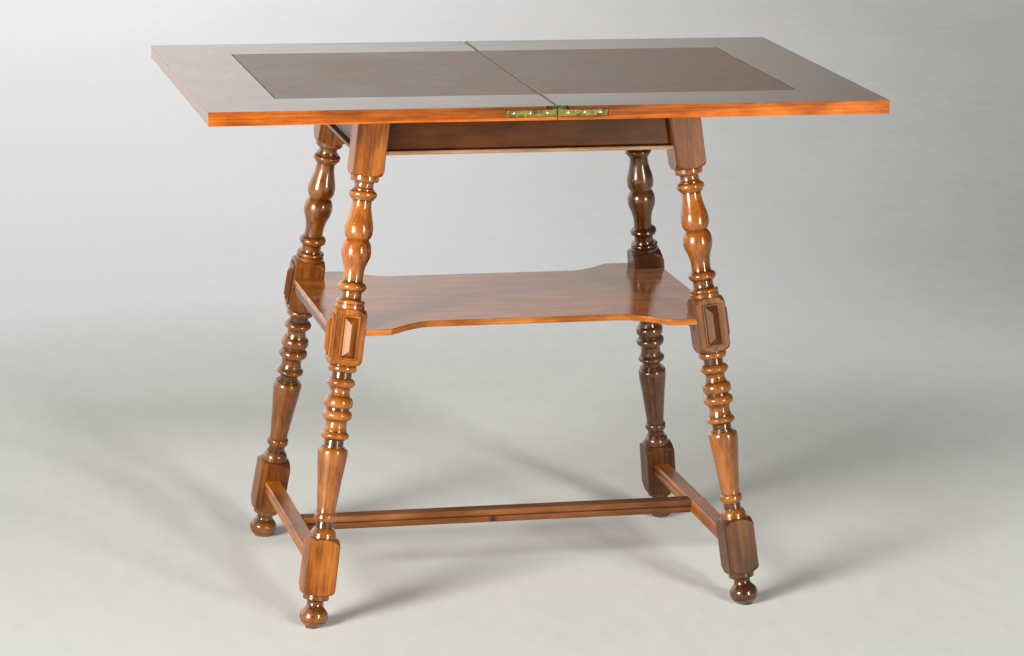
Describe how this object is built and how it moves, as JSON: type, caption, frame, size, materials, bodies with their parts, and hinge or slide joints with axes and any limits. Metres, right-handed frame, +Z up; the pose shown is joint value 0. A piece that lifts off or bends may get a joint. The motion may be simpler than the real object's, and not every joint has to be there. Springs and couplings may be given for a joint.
{
  "type": "fold over card table",
  "caption": "Square-cornered fold over card table: two hinged, leather-lined leaves swivel on a splayed frame of turned and blocked legs with a shaped shelf and an H stretcher.",
  "frame": {"origin": "on the floor under the middle of the open top", "axes": "+X to the right along the long side of the open top, +Y to the back, +Z up"},
  "size_m": [0.944, 0.571, 0.74],
  "materials": {
    "leg_wood": "polished, with small bright highlights",
    "rail_wood": "darker, satin",
    "edge_wood": "polished border wood, orange brown at its edges",
    "board_wood": "plain board under the leather",
    "shelf_wood": "polished",
    "leather": "worn brown leather with a soft sheen",
    "brass": "aged, greenish gold",
    "steel": "dull"
  },
  "bodies": {
    "base": {"leg_front_left": "leg_wood", "leg_front_right": "leg_wood", "leg_back_left": "leg_wood", "leg_back_right": "leg_wood", "boss_front_left_face": "leg_wood", "boss_front_left_end": "leg_wood", "boss_front_right_face": "leg_wood", "boss_front_right_end": "leg_wood", "boss_back_left_face": "leg_wood", "boss_back_left_end": "leg_wood", "boss_back_right_face": "leg_wood", "boss_back_right_end": "leg_wood", "rail_front": "rail_wood", "rail_back": "rail_wood", "rail_left": "rail_wood", "rail_right": "rail_wood", "pivot_rail": "rail_wood", "shelf": "shelf_wood", "shelf_bearer_left": "leg_wood", "shelf_bearer_right": "leg_wood", "stretcher_left": "leg_wood", "stretcher_right": "leg_wood", "stretcher_long": "leg_wood"},
    "lower_leaf": {"lower_leaf_end_border": "edge_wood", "lower_leaf_field_board": "board_wood", "lower_leaf_leather": "leather", "lower_leaf_front_border": "edge_wood", "lower_leaf_back_border": "edge_wood", "lower_leaf_front_hinge_plate": "brass", "lower_leaf_back_hinge_plate": "brass", "lower_leaf_front_hinge_screw_1": "brass", "lower_leaf_front_hinge_screw_2": "brass", "lower_leaf_front_hinge_screw_3": "brass", "lower_leaf_back_hinge_screw_1": "brass", "lower_leaf_back_hinge_screw_2": "brass", "lower_leaf_back_hinge_screw_3": "brass", "pivot_bolt": "steel", "pivot_plate": "steel", "pivot_plate_screw_1": "steel", "pivot_plate_screw_2": "steel", "pivot_washer": "steel", "pivot_nut": "steel", "stop_peg": "rail_wood"},
    "hinge_links": {"hinge_link_front": "brass", "hinge_link_back": "brass"},
    "folding_leaf": {"folding_leaf_end_border": "edge_wood", "folding_leaf_field_board": "board_wood", "folding_leaf_leather": "leather", "folding_leaf_front_border": "edge_wood", "folding_leaf_back_border": "edge_wood", "folding_leaf_front_hinge_plate": "brass", "folding_leaf_back_hinge_plate": "brass", "folding_leaf_front_hinge_screw_1": "brass", "folding_leaf_front_hinge_screw_2": "brass", "folding_leaf_front_hinge_screw_3": "brass", "folding_leaf_back_hinge_screw_1": "brass", "folding_leaf_back_hinge_screw_2": "brass", "folding_leaf_back_hinge_screw_3": "brass"}
  },
  "joints": [
    {"name": "top_swivel", "type": "hinge", "parent": "base", "child": "lower_leaf", "pos_m": [-0.118, 0.1014, 0.721], "axis": [0, 0, 1], "range_deg": [0, 90]},
    {"name": "link_fold", "type": "hinge", "parent": "lower_leaf", "child": "hinge_links", "pos_m": [-0.003, 0, 0.7372], "axis": [0, -1, 0], "range_deg": [0, 90]},
    {"name": "leaf_fold", "type": "hinge", "parent": "hinge_links", "child": "folding_leaf", "pos_m": [0.003, 0, 0.7372], "axis": [0, -1, 0], "range_deg": [0, 90]}
  ]
}
